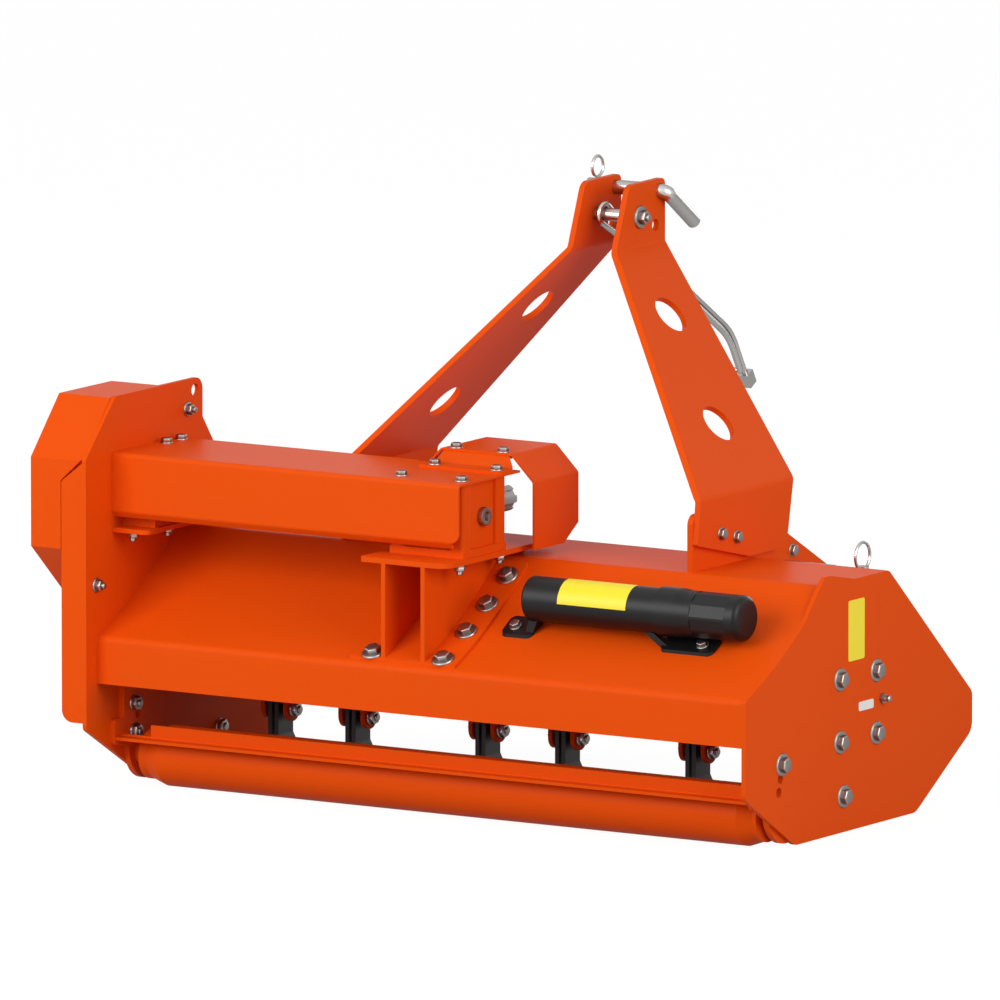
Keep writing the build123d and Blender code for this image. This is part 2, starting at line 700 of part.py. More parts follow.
def make_guard():
    """Folded tunnel over the stub, and the stepped bracket that holds it to the beam cover."""
    side = GUARD_TOP_HALF + GUARD_CHAMFER
    shoulder = GUARD_TOP_Z - GUARD_CHAMFER
    path = [
        (GUARD_X - side, GUARD_LOW_Z),
        (GUARD_X - side, shoulder),
        (GUARD_X - GUARD_TOP_HALF, GUARD_TOP_Z),
        (GUARD_X + GUARD_TOP_HALF, GUARD_TOP_Z),
        (GUARD_X + side, shoulder),
        (GUARD_X + side, GUARD_LOW_Z),
    ]
    guard = along(folded(path, GUARD_T, 3.0), GUARD_REAR_Y, GUARD_FRONT_Y)
    corner = polygon([
        (GUARD_FRONT_Y + 1, GUARD_LOW_Z - 1),
        (GUARD_FRONT_Y + 1, GUARD_LOW_Z + GUARD_CUT_Z),
        (GUARD_FRONT_Y - GUARD_CUT_Y, GUARD_LOW_Z - 1),
    ])
    guard -= across(corner, GUARD_X - side - 1, GUARD_X + side + 1)
    keep("pto_guard", guard)

    high = GUARD_TOP_Z - GUARD_T
    step = [
        (FOOT_REAR_Y, BEAM_TOP_Z + FOOT_T),
        (FOOT_RISER_Y, BEAM_TOP_Z + FOOT_T),
        (GUARD_REAR_Y, high),
        (FOOT_FRONT_Y, high),
    ]
    plan = rounded([
        (FOOT_LEFT_X, FOOT_REAR_Y - 1, 0.5),
        (FOOT_RIGHT_X, FOOT_REAR_Y - 1, FOOT_CORNER_R),
        (FOOT_RIGHT_X, FOOT_RISER_Y, FOOT_CORNER_R),
        (GUARD_X + GUARD_TOP_HALF - 4, GUARD_REAR_Y, 4.0),
        (GUARD_X + GUARD_TOP_HALF - 4, FOOT_FRONT_Y + 1, 0.5),
        (GUARD_X - GUARD_TOP_HALF + 4, FOOT_FRONT_Y + 1, 0.5),
        (GUARD_X - GUARD_TOP_HALF + 4, GUARD_REAR_Y, 1.0),
    ])
    bracket = across(folded(step, FOOT_T, 2.0), FOOT_LEFT_X - 1, FOOT_RIGHT_X + 1)
    keep("guard_bracket", bracket & upright(plan, BEAM_TOP_Z - 1, GUARD_TOP_Z + 1))


def make_drive():
    """Beam cover, drive tube under it and the shelf with the bearing block at the left plate."""
    path = [
        (BEAM_REAR_Y + BEAM_LIP, BEAM_LOW_Z - BEAM_LIP),
        (BEAM_REAR_Y, BEAM_LOW_Z),
        (BEAM_REAR_Y, BEAM_TOP_Z),
        (BEAM_FRONT_Y, BEAM_TOP_Z),
        (BEAM_FRONT_Y, BEAM_LOW_Z),
        (BEAM_FRONT_Y - BEAM_LIP, BEAM_LOW_Z - BEAM_LIP),
    ]
    beam = across(folded(path, BEAM_T, 3.0), PLATE_LEFT_X, BEAM_RIGHT_X)
    beam -= block(
        GEAR_X - BEAM_OPEN, BEAM_RIGHT_X + 1, BEAM_FRONT_Y - 3 * BEAM_LIP, BEAM_FRONT_Y + 1,
        BEAM_LOW_Z - 2 * BEAM_LIP, BEAM_TOP_Z - BEAM_T,
    )
    beam -= block(
        GUARD_X - GUARD_TOP_HALF - GUARD_CHAMFER - 2.0, BEAM_RIGHT_X + 1, GUARD_REAR_Y - 1.0, BEAM_FRONT_Y + 1,
        BEAM_LOW_Z, BEAM_TOP_Z + 1,
    )
    low = BEAM_LOW_Z - BEAM_LIP - 1
    corner = polygon([
        (BEAM_RIGHT_X - BEAM_CORNER_R, low),
        (BEAM_RIGHT_X + 1, low),
        (BEAM_RIGHT_X + 1, BEAM_LOW_Z + BEAM_CORNER_R),
        (BEAM_RIGHT_X - BEAM_CORNER_R, BEAM_LOW_Z + BEAM_CORNER_R),
    ]) - Pos(BEAM_RIGHT_X - BEAM_CORNER_R, BEAM_LOW_Z + BEAM_CORNER_R) * Circle(BEAM_CORNER_R)
    keep("beam_cover", beam - along(corner, BEAM_REAR_Y - 1, BEAM_REAR_Y + 3 * BEAM_LIP))

    shelf = rounded([
        (PLATE_LEFT_X, LEFT_SHELF_REAR_Y, 1.0),
        (PLATE_LEFT_X + LEFT_SHELF_L, LEFT_SHELF_REAR_Y, 10.0),
        (PLATE_LEFT_X + LEFT_SHELF_L, LEFT_SHELF_FRONT_Y, 10.0),
        (PLATE_LEFT_X, LEFT_SHELF_FRONT_Y, 1.0),
    ])
    shelf = upright(shelf, LEFT_SHELF_Z - LEFT_SHELF_T, LEFT_SHELF_Z)
    shelf += block(
        PLATE_LEFT_X, PLATE_LEFT_X + DRIVE_BLOCK_L, DRIVE_Y - DRIVE_BLOCK_W / 2, DRIVE_Y + DRIVE_BLOCK_W / 2,
        LEFT_SHELF_Z, PTO_Z + DRIVE_BLOCK_TOP,
    )
    keep("beam_shelf", shelf)
    keep("drive_tube", rod(
        (PLATE_LEFT_X + DRIVE_BLOCK_L, DRIVE_Y, PTO_Z), (GEAR_X - GEAR_W / 2 + GEAR_RECESS, DRIVE_Y, PTO_Z), DRIVE_R
    ))


def make_belt_cover():
    """Welded sheet box over the belt drive, open only where the left plate closes it."""
    outer = polygon(COVER_OUTLINE)
    inner = offset(outer, amount=-COVER_T, kind=Kind.INTERSECTION)
    plate_x = PLATE_LEFT_X - SIDE_T
    face_x = plate_x - COVER_DEPTH
    flange_x = plate_x - LEFT_FLANGE_W
    box = across(outer, face_x, plate_x)
    room = across(inner, face_x + COVER_T, plate_x - COVER_T)
    for target, gap in (("box", COVER_GAP), ("room", COVER_GAP + COVER_T)):
        notch = along(polygon([
            (plate_x + 1, LEFT_LOW_Z),
            (plate_x + 1, LEFT_SHOULDER_Z + gap),
            (plate_x, LEFT_SHOULDER_Z + gap),
            (flange_x - gap, LEFT_SHOULDER_Z - LEFT_FLANGE_CUT + gap),
            (flange_x - gap, LEFT_LOW_Z),
        ]), COVER_OUTLINE[0][0] - 1, LEFT_REAR_Y + SIDE_T + gap)
        if target == "box":
            box -= notch
        else:
            room -= notch
    window = offset(left_plate_face(), amount=-COVER_RIM) & inner
    cover = box - room - across(window, plate_x - 2 * COVER_T, plate_x + 1)
    keep("belt_cover", cover)


def make_mast():
    """Two bent arms with their brackets on the hood, the spacer, the top link pin and its clip."""
    path = [
        (MAST_TOP_HALF, MAST_OUTLINE[2][1] + 5),
        (MAST_TOP_HALF, MAST_HIGH_Z),
        (MAST_FOOT_HALF, MAST_LOW_Z),
        (MAST_FOOT_HALF, DECK_Z),
    ]
    strip = folded(path, MAST_T, 6.0)
    arm = along(strip, MAST_OUTLINE[-2][0] - 5, MAST_OUTLINE[2][0] + 5)
    arm &= across(rounded(MAST_OUTLINE), 0, MAST_FOOT_HALF + 20)
    rear_high, rear_low = MAST_OUTLINE[0][0], MAST_OUTLINE[-1][0]
    front_high, front_low = MAST_OUTLINE[3][0], MAST_OUTLINE[4][0]
    lean = math.degrees(math.atan2(MAST_FOOT_HALF - MAST_TOP_HALF, MAST_HIGH_Z - MAST_LOW_Z))
    for hole_z in MAST_HOLES_Z:
        share = (MAST_HIGH_Z - hole_z) / (MAST_HIGH_Z - MAST_LOW_Z)
        hole_x = MAST_TOP_HALF + share * (MAST_FOOT_HALF - MAST_TOP_HALF)
        hole_y = (rear_high + front_high) / 2 + share * (rear_low + front_low - rear_high - front_high) / 2
        arm -= Pos(hole_x, hole_y, hole_z) * Rot(0, 90 - lean, 0) * Cylinder(MAST_HOLE_R, 60)
    top = MAST_TOP_HALF + 10
    arm -= rod((0, TOP_PIN_Y, TOP_PIN_Z), (top, TOP_PIN_Y, TOP_PIN_Z), TOP_PIN_R + RUN_CLEARANCE)
    arm -= rod((0, SPARE_HOLE[0], SPARE_HOLE[1]), (top, SPARE_HOLE[0], SPARE_HOLE[1]), SPARE_HOLE_R)
    keep("mast_arm_right", Pos(HITCH_X, 0, 0) * arm)
    keep("mast_arm_left", Pos(HITCH_X, 0, 0) * mirror(arm, about=Plane.YZ))

    outer = MAST_FOOT_HALF - MAST_T
    brace = rounded([
        (BRACE_REAR_Y, DECK_Z - 40.0, 1.0),
        (BRACE_REAR_Y, BRACE_TOP_Z, 14.0),
        (BRACE_TOP_Y, BRACE_TOP_Z, 20.0),
        (BRACE_KNEE_Y, BRACE_KNEE_Z, 16.0),
        (BRACE_NOSE_Y, BRACE_NOSE_Z, 14.0),
        (BRACE_NOSE_Y, BRACE_NOSE_Z - BRACE_NOSE_H, 14.0),
        (BRACE_FOOT_Y, front_line(BRACE_FOOT_Y), 1.0),
        (STRIP_FRONT_Y, DECK_Z - 40.0, 1.0),
    ]) - under_hood()
    plate = across(brace.faces().sort_by(SortBy.AREA)[-1], outer - BRACE_T, outer)
    plate -= rod((outer - BRACE_T - 1, LINK_Y, LINK_Z), (outer + 1, LINK_Y, LINK_Z), LINK_R + RUN_CLEARANCE)
    pin = rod((outer - BRACE_T - LINK_NUT_T, LINK_Y, LINK_Z), (LINK_END, LINK_Y, LINK_Z), LINK_R)
    pin += rod((outer, LINK_Y, LINK_Z), (LINK_SHOULDER, LINK_Y, LINK_Z), LINK_COLLAR_R)
    nut = Plane.YZ.offset(outer - BRACE_T - LINK_NUT_T) * Pos(LINK_Y, LINK_Z) * RegularPolygon(LINK_NUT_R, 6)
    pin += extrude(nut, amount=LINK_NUT_T)
    pin -= rod((LINCH_X, LINK_Y, LINK_Z - 20), (LINCH_X, LINK_Y, LINK_Z + 20), LINCH_R + LINCH_HOLE_CLEARANCE)
    head = LINK_Z + LINK_R
    linch = rod((LINCH_X, LINK_Y, LINK_Z - 2 * LINK_R), (LINCH_X, LINK_Y, head + LINCH_HEAD_H), LINCH_R)
    linch += rod((LINCH_X, LINK_Y, head + 0.5), (LINCH_X, LINK_Y, head + LINCH_HEAD_H), LINCH_HEAD_R)
    ring_z = head + LINCH_HEAD_H / 2 + LINCH_RING_R
    linch += Pos(LINCH_X, LINK_Y, ring_z) * Rot(0, 90, 0) * Torus(LINCH_RING_R, LINCH_WIRE_R)
    for name, shape in (("mast_bracket", plate), ("lower_link_pin", pin), ("linch_pin", linch)):
        keep(name + "_right", Pos(HITCH_X, 0, 0) * shape)
        keep(name + "_left", Pos(HITCH_X, 0, 0) * mirror(shape, about=Plane.YZ))

    gap = MAST_TOP_HALF - MAST_T
    keep("mast_spacer", rod((HITCH_X - gap, SPACER_Y, SPACER_Z), (HITCH_X + gap, SPACER_Y, SPACER_Z), SPACER_R))

    corner = Vector(HITCH_X + TOP_PIN_RIGHT, TOP_PIN_Y, TOP_PIN_Z)
    handle = Vector(corner.X, TOP_PIN_TIP_Y, TOP_PIN_TIP_Z) - corner
    bend = Plane(origin=corner, x_dir=(1, 0, 0), z_dir=Vector(1, 0, 0).cross(handle))
    path = bend * FilletPolyline(
        (-TOP_PIN_LEFT - TOP_PIN_RIGHT, 0), (0, 0), (0, handle.length), radius=TOP_PIN_BEND_R
    )
    pin = sweep(Plane(origin=path @ 0, z_dir=path % 0) * Circle(TOP_PIN_R), path=path)
    clip_x = HITCH_X - CLIP_X
    hole_r = CLIP_WIRE_R + LINCH_HOLE_CLEARANCE
    pin -= rod((clip_x, TOP_PIN_Y, TOP_PIN_Z - 15), (clip_x, TOP_PIN_Y, TOP_PIN_Z + 15), hole_r)
    keep("top_link_pin", pin)
    ring_z = TOP_PIN_Z + TOP_PIN_R + 2.0 + CLIP_RING_R
    clip = rod((clip_x, TOP_PIN_Y, TOP_PIN_Z - 16), (clip_x, TOP_PIN_Y, ring_z - CLIP_RING_R), CLIP_WIRE_R)
    clip += Pos(clip_x, TOP_PIN_Y, ring_z) * Rot(0, 90, 0) * Torus(CLIP_RING_R, CLIP_WIRE_R)
    keep("top_link_clip", clip)


def make_hook():
    """Bar bent round the mast spacer into two legs that hold the drive shaft up when it is unhitched."""
    ring_r = SPACER_R + HOOK_CLEARANCE + HOOK_R
    heading = math.atan2(HOOK_CORNER[1] - SPACER_Z, HOOK_CORNER[0] - SPACER_Y)
    side = (-math.sin(heading), math.cos(heading))
    join = (SPACER_Y + HOOK_JOIN * math.cos(heading), SPACER_Z + HOOK_JOIN * math.sin(heading))
    way = math.atan2(HOOK_END[1] - HOOK_CORNER[1], HOOK_END[0] - HOOK_CORNER[0])
    bars = []
    for sign, cut in ((1, 0.0), (-1, HOOK_SHORT)):
        shift = (sign * HOOK_LEGS_HALF * side[0], sign * HOOK_LEGS_HALF * side[1])
        end = (
            HOOK_END[0] + shift[0] - cut * math.cos(way),
            HOOK_END[1] + shift[1] - cut * math.sin(way),
        )
        path = FilletPolyline(
            (SPACER_Y + sign * ring_r * side[0], SPACER_Z + sign * ring_r * side[1]),
            (join[0] + shift[0], join[1] + shift[1]),
            (HOOK_CORNER[0] + shift[0], HOOK_CORNER[1] + shift[1]),
            end,
            radius=[HOOK_JOIN_R, HOOK_BEND_R],
        )
        path = Plane.YZ.offset(HOOK_X) * path
        bars.append(sweep(Plane(origin=path @ 0, z_dir=path % 0) * Circle(HOOK_R), path=path))
        if cut:
            bars.append(rod((HOOK_X, end[0], end[1]), (HOOK_X - HOOK_STUB_L, end[0], end[1]), HOOK_R))
            bars.append(Pos(HOOK_X, end[0], end[1]) * Sphere(HOOK_R))
        else:
            tip = Plane(origin=path @ 1, z_dir=path % 1)
            bars.append(tip * Box(HOOK_BLOCK, HOOK_BLOCK, HOOK_BLOCK_L))
    half_ring = Rot(0, 90, 0) * Torus(ring_r, HOOK_R)
    half_ring -= Rot(math.degrees(heading), 0, 0) * block(-20, 20, 0, 60, -60, 60)
    hook = Pos(HOOK_X, SPACER_Y, SPACER_Z) * half_ring
    for bar in bars:
        hook += bar
    keep("shaft_rest", hook)


def make_document_tube():
    """Plastic tube with a collared screw cap, held by two tabs on the rear slope."""
    tube = rod((TUBE_LEFT_X, TUBE_Y, TUBE_Z), (COLLAR_LEFT_X, TUBE_Y, TUBE_Z), TUBE_R)
    keep("document_tube", fillet(tube.edges().filter_by(GeomType.CIRCLE).sort_by(Axis.X)[:1], 4.0))
    grip = rod((COLLAR_LEFT_X, TUBE_Y, TUBE_Z), (TUBE_RIGHT_X, TUBE_Y, TUBE_Z), GRIP_R)
    grip = fillet(grip.edges().filter_by(GeomType.CIRCLE).sort_by(Axis.X)[-1:], CAP_ROUND)
    flat = block(GRIP_LEFT_X, GRIP_RIGHT_X, -GRIP_R, GRIP_R, GRIP_R - GRIP_DEPTH, GRIP_R + 1)
    for i in range(GRIP_FLATS):
        grip -= Pos(0, TUBE_Y, TUBE_Z) * Rot(360.0 / GRIP_FLATS * i, 0, 0) * flat
    collar = rod((COLLAR_LEFT_X, TUBE_Y, TUBE_Z), (COLLAR_RIGHT_X, TUBE_Y, TUBE_Z), COLLAR_R)
    cone = Cone(COLLAR_R, GRIP_R, COLLAR_CONE_L, align=(Align.CENTER, Align.CENTER, Align.MIN))
    cone = Pos(COLLAR_RIGHT_X, TUBE_Y, TUBE_Z) * Rot(0, 90, 0) * cone
    keep("tube_cap", grip + collar + cone)

    feet = []
    sheet = above_hollow(0) - above_hollow(TAB_T)
    clear = rod((COLLAR_LEFT_X, TUBE_Y, TUBE_Z), (TUBE_RIGHT_X, TUBE_Y, TUBE_Z), COLLAR_R + 1.0)
    bore = rod((TUBE_LEFT_X - 99, TUBE_Y, TUBE_Z), (COLLAR_LEFT_X + 99, TUBE_Y, TUBE_Z), TUBE_R)
    for tab_left, tab_right, low_left, low_right, top_left, top_right in TUBE_FEET:
        plan = rounded([
            (tab_left, TAB_REAR_Y, TAB_CORNER_R),
            (tab_right, TAB_REAR_Y, TAB_CORNER_R),
            (tab_right, TAB_FRONT_Y, TAB_CORNER_R),
            (tab_left, TAB_FRONT_Y, TAB_CORNER_R),
        ])
        foot = across(sheet, tab_left - TAB_CORNER_R, tab_right + TAB_CORNER_R) & upright(plan, 0, TUBE_Z)
        web = along(polygon([
            (low_left, 0),
            (low_left, TUBE_Z - TUBE_R - 18.0),
            (top_left, TUBE_Z - TUBE_R + 6.0),
            (top_right, TUBE_Z - TUBE_R + 6.0),
            (low_right, TUBE_Z - TUBE_R - 18.0),
            (low_right, 0),
        ]), TAB_REAR_Y + WEB_INSET, TAB_FRONT_Y - WEB_INSET)
        web &= across(above_hollow(TAB_T / 2), min(low_left, top_left) - 1, max(low_right, top_right) + 1)
        feet.append(foot + (web - bore - clear))
    keep("tube_feet", Compound(feet))


make_side_plates()
make_hood()
make_rotor()
make_roller()
make_gearbox()
make_guard()
make_drive()
make_belt_cover()
make_mast()
make_hook()
make_document_tube()

whole = Compound(children=[Compound(shape.wrapped) for shape in NODES.values()]).bounding_box()
to_origin = Pos(-(whole.min.X + whole.max.X) / 2, -(whole.min.Y + whole.max.Y) / 2, -whole.min.Z)
print("moved by", to_origin.position, "size", whole.size)
os.makedirs("parts", exist_ok=True)
for node_name, node_shape in NODES.items():
    export_step(to_origin * node_shape, os.path.join("parts", node_name + ".step"))
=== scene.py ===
"""Looks of the pasture topper: finishes, bolts, blank labels and small fittings around the CAD frame."""
import json
import math

import bpy
from mathutils import Matrix, Vector


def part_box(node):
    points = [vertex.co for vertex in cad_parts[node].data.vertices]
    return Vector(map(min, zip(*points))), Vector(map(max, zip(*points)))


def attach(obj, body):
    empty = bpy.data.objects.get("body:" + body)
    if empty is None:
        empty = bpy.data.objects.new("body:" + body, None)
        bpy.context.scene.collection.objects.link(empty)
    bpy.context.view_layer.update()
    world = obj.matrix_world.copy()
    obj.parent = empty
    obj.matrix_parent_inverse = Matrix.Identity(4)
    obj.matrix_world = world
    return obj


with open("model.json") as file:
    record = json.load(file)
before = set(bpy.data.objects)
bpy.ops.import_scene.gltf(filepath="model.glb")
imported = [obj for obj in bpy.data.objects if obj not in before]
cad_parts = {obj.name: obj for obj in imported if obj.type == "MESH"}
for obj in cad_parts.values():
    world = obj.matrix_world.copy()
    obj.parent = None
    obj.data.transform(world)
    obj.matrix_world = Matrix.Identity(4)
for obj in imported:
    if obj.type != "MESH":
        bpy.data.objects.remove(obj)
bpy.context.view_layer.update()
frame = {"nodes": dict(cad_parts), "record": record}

MM = 0.001
HOOD_LOW, HOOD_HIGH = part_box("hood")
ROTOR_LOW, ROTOR_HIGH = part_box("rotor")
MID_X = (HOOD_LOW.x + HOOD_HIGH.x) / 2
ROTOR_Y = (ROTOR_LOW.y + ROTOR_HIGH.y) / 2

# camera of the photograph, far away with a long lens, in millimetres from the rotor's middle on the ground
CAMERA_AT = (15673.0, -25161.0, 4975.0)
CAMERA_TILT = 81.2
CAMERA_TURN = 32.0
CAMERA_LENS = 833.8
CAMERA_SENSOR = 36.0
CAMERA_REACH = 100.0

# lamps: name, place in metres, size in metres, power in watts, all aimed at one point of the machine
LAMPS = (
    ("key", (-1.2, -3.8, 1.9), 2.4, 90.0),
    ("fill", (3.7, -1.2, 1.9), 2.4, 66.0),
    ("left", (-4.0, -0.6, 1.2), 2.0, 30.0),
    ("front", (0.0, 4.2, 0.9), 1.6, 24.0),
)
LAMP_AIM = (0, 0, 0.3)

# floor and surround: what the camera sees is white, what lights the machine is duller
FLOOR_SIZE = 60.0
FLOOR_Z = -0.0005
FLOOR_GLOW = 1.05
FLOOR_GLOW_SHARE = 0.9
FLOOR_IN_GLOSS = 0.45
ROOM_LIGHT = 0.45
ROOM_IN_GLOSS = 0.75
PURE_WHITE = (1, 1, 1, 1)

# hood slope, the arc of a circle in (Y, Z)
HOLLOW_Y = -579.5
HOLLOW_Z = 902.0
HOLLOW_R = 759.4

# ways out of a face
PLUS_X = (1, 0, 0)
MINUS_X = (-1, 0, 0)
PLUS_Z = (0, 0, 1)
MINUS_Z = (0, 0, -1)

# faces that bolts and labels stand on, in millimetres from the rotor's middle on the ground
RIGHT_FACE = 496.0
LEFT_FACE = -496.0
LEFT_INSIDE = -490.0
BRACKET_INSIDE = -482.0
BEAM_TOP = 441.0
FOOT_TOP = 445.0
GUARD_TOP = 461.0
GEAR_SHELF_LOW = 334.0
LEFT_SHELF_LOW = 336.0
PLUG_FACE = 30.0

# mast: its middle, and its faces as distances from that middle
HITCH_X = 25.0
ARM_FACE = 275.5
BRACE_FACE = 267.5
MAST_TOP_FACE = 37.5

# bolts and nuts on flat faces: name, model, place across, forward and up, way out, turn in degrees
FLAT_BOLTS = (
    ("bearing_bolt_right", "big_bolt", (RIGHT_FACE, -48.0, 118.0), PLUS_X, 10),
    ("bearing_bolt_right", "big_bolt", (RIGHT_FACE, -48.0, 199.5), PLUS_X, 10),
    ("bearing_bolt_right", "big_bolt", (RIGHT_FACE, 42.0, 118.0), PLUS_X, 10),
    ("bearing_bolt_right", "big_bolt", (RIGHT_FACE, 42.0, 199.5), PLUS_X, 10),
    ("bracket_bolt_right", "big_bolt", (RIGHT_FACE, -191.0, 109.0), PLUS_X, 22),
    ("lower_bolt_right", "big_bolt", (RIGHT_FACE, -39.0, 46.5), PLUS_X, 5),
    ("cover_nut", "small_nut", (LEFT_INSIDE, -282.0, 271.0), PLUS_X, 0),
    ("cover_nut", "small_nut", (LEFT_INSIDE, -63.0, 474.0), PLUS_X, 15),
    ("bracket_nut_left", "middle_nut", (BRACKET_INSIDE, -206.0, 107.0), PLUS_X, 5),
    ("bracket_bolt_left", "big_bolt", (LEFT_FACE, -206.0, 107.0), MINUS_X, 5),
    ("bracket_nut_left", "middle_nut", (BRACKET_INSIDE, -205.0, 70.0), PLUS_X, 20),
    ("bracket_bolt_left", "big_bolt", (LEFT_FACE, -205.0, 70.0), MINUS_X, 20),
    ("lower_nut_left", "middle_nut", (LEFT_INSIDE, 13.0, 45.5), PLUS_X, 12),
    ("beam_bolt", "small_bolt", (-474.0, -139.0, BEAM_TOP), PLUS_Z, 7),
    ("beam_bolt", "small_bolt", (-474.0, -104.0, BEAM_TOP), PLUS_Z, 7),
    ("beam_bolt", "small_bolt", (-65.0, -214.0, BEAM_TOP), PLUS_Z, 7),
    ("beam_bolt", "small_bolt", (26.0, -214.0, BEAM_TOP), PLUS_Z, 7),
    ("foot_bolt", "small_bolt", (-66.0, -132.0, FOOT_TOP), PLUS_Z, 7),
    ("foot_bolt", "small_bolt", (28.0, -132.0, FOOT_TOP), PLUS_Z, 7),
    ("guard_bolt", "small_bolt", (-62.0, -86.0, GUARD_TOP), PLUS_Z, 3),
    ("guard_bolt", "small_bolt", (9.5, -86.0, GUARD_TOP), PLUS_Z, 3),
    ("gearbox_nut", "small_nut", (32.0, -228.0, GEAR_SHELF_LOW), MINUS_Z, 9),
    ("gearbox_nut", "small_nut", (25.0, -120.0, GEAR_SHELF_LOW), MINUS_Z, 9),
    ("gearbox_nut", "small_nut", (-72.0, -228.0, GEAR_SHELF_LOW), MINUS_Z, 9),
    ("shelf_nut", "small_nut", (-470.0, -226.0, LEFT_SHELF_LOW), MINUS_Z, 9),
    ("shelf_nut", "small_nut", (-457.0, -163.0, LEFT_SHELF_LOW), MINUS_Z, 9),
)

# bolts on both sides of the mast: name, model, distance from its middle, forward, up, turn in degrees
MAST_BOLTS = (
    ("mast_bolt", "small_bolt", ARM_FACE, -22.0, 369.5, 12),
    ("mast_bolt", "small_bolt", ARM_FACE, 16.0, 360.5, 12),
    ("mast_bolt", "small_bolt", BRACE_FACE, 167.0, 322.5, 4),
    ("spacer_nut", "washer_nut", MAST_TOP_FACE, 164.0, 741.0, 10),
)

# small fittings, in columns as the bolts on flat faces
FITTINGS = (
    ("gearbox_plug", "plug", (PLUG_FACE, -171.0, 390.0), PLUS_X, 0),
    ("grease_nipple", "nipple", (RIGHT_FACE, 55.0, 161.5), PLUS_X, 0),
)

# bolts on the slope, across and forward: those of the stand to the right, and those of the tube's tabs
STAND_BOLTS = ((29.0, -262.0), (29.0, -206.0), (31.0, -158.0), (34.0, -114.0))
STAND_SIDES = ((0.0, 1), (-48.0, -1))
STAND_BOLT_TURN = 9
BASE_T = 4.0
TAB_BOLTS = ((93.0, -188.0), (376.0, -189.0))
TAB_BOLT_TURN = 14
TAB_T = 4.0

# flail bolts on the rotor: places as shares of the tube's half length, below and above the tube
FLAIL_SHARES = (-0.87, -0.602, -0.153, 0.121, 0.566, 0.84)
HIGH_FLAIL_SHARES = (-0.735, -0.378, -0.016, 0.344, 0.703, 0.928)
FLAIL_BOLT_TURN = 11
ROTOR_HALF = 445.0
LUG_FACE = 20.0
LUG_R = 79.0

# labels: thickness and corner of the film, then its low and high corners as (forward, up) on the right plate
FILM_T = 0.4
FILM_CORNER = 3.0
YELLOW_LABEL = ((-29.0, 220.0), (11.0, 299.0))
WHITE_LABEL = ((-3.0, 152.0), (34.0, 164.0))

# label round the document tube: the tube's place and radius, the film's ends along it and its turn round it
TUBE_Y = -190.0
TUBE_Z = 293.0
TUBE_R = 29.5
TUBE_FILM_LIFT = 0.15
TUBE_FILM_T = 0.3
LABEL_X = (174.0, 277.0)
LABEL_TURN = (88.0, 178.0)

# shape of bolt heads: chamfered parts as shares of the height, what is left of the width at their ends
WASHER_TAPER = 0.93
CROWN = 0.15
CROWN_TAPER = 0.84
STUD_END = 0.25
STUD_TAPER = 0.78
FACING_UP = 0.9

# shape of the gearbox plug: its rim and the depth of its socket, as shares of radius and height
PLUG_RIM = 0.14
SOCKET_DEPTH = 0.9

# shape of the grease nipple: foot, neck, and the steps of its tip as (rise, change of width)
NIPPLE_FOOT_R = 7.0
NIPPLE_FOOT_H = 4.0
NIPPLE_NECK_R = 4.0
NIPPLE_NECK_H = 1.0
NIPPLE_STEPS = ((3.0, 0.8), (2.0, 1.35), (2.0, 1.0), (1.5, 0.6))


def at(x, y, z):
    """Place in the frame, from millimetres across, forward and up from the rotor's middle on the ground."""
    return Vector((MID_X + x * MM, ROTOR_Y + y * MM, z * MM))


def on_slope(x, y, lift):
    """Place on the hood's hollow rear slope, and the way out of it."""
    drop = math.sqrt(HOLLOW_R ** 2 - (y - HOLLOW_Y) ** 2)
    out = Vector((0.0, HOLLOW_Y - y, drop)).normalized()
    return at(x, y, HOLLOW_Z - drop) + out * lift * MM, out


def linear(code):
    """Scene colour of an sRGB hex value."""
    parts = [int(code[i:i + 2], 16) / 255 for i in (1, 3, 5)]
    return tuple(c / 12.92 if c <= 0.04045 else ((c + 0.055) / 1.055) ** 2.4 for c in parts) + (1.0,)


def add_node(tree, kind, settings, links=()):
    """Add a node, set its sockets or properties, and link outputs of other nodes into it."""
    node = tree.nodes.new(kind)
    for key, value in settings.items():
        if isinstance(key, int) or key in node.inputs:
            node.inputs[key].default_value = value
        else:
            setattr(node, key, value)
    for socket, source, output in links:
        tree.links.new(source.outputs[output], node.inputs[socket])
    return node


def new_material(name, settings):
    """Material with a principled shader set to the given values."""
    material = bpy.data.materials.new(name)
    material.use_nodes = True
    shader = material.node_tree.nodes["Principled BSDF"]
    for key, value in settings.items():
        shader.inputs[key].default_value = value
    return material, shader


def add_grain(material, shader, size_mm, strength, height_mm):
    """Fine relief of a given grain size in millimetres, read from the piece's own coordinates."""
    tree = material.node_tree
    place = add_node(tree, "ShaderNodeTexCoord", {})
    noise = add_node(
        tree, "ShaderNodeTexNoise", {"Scale": 1.0 / (size_mm * MM), "Detail": 2.0},
        [("Vector", place, "Object")],
    )
    bump = add_node(
        tree, "ShaderNodeBump", {"Strength": strength, "Distance": height_mm * MM},
        [("Height", noise, "Fac")],
    )
    tree.links.new(bump.outputs["Normal"], shader.inputs["Normal"])


def orange_powder_coat():
    """Sprayed and baked polyester powder on steel: even colour, low gloss, a faint orange-peel relief."""
    material, shader = new_material("orange_powder_coat", {
        "Base Color": linear("#EB520A"), "Roughness": 0.4, "IOR": 1.45, "Specular IOR Level": 0.06,
    })
    add_grain(material, shader, size_mm=3.5, strength=0.06, height_mm=0.2)
    return material


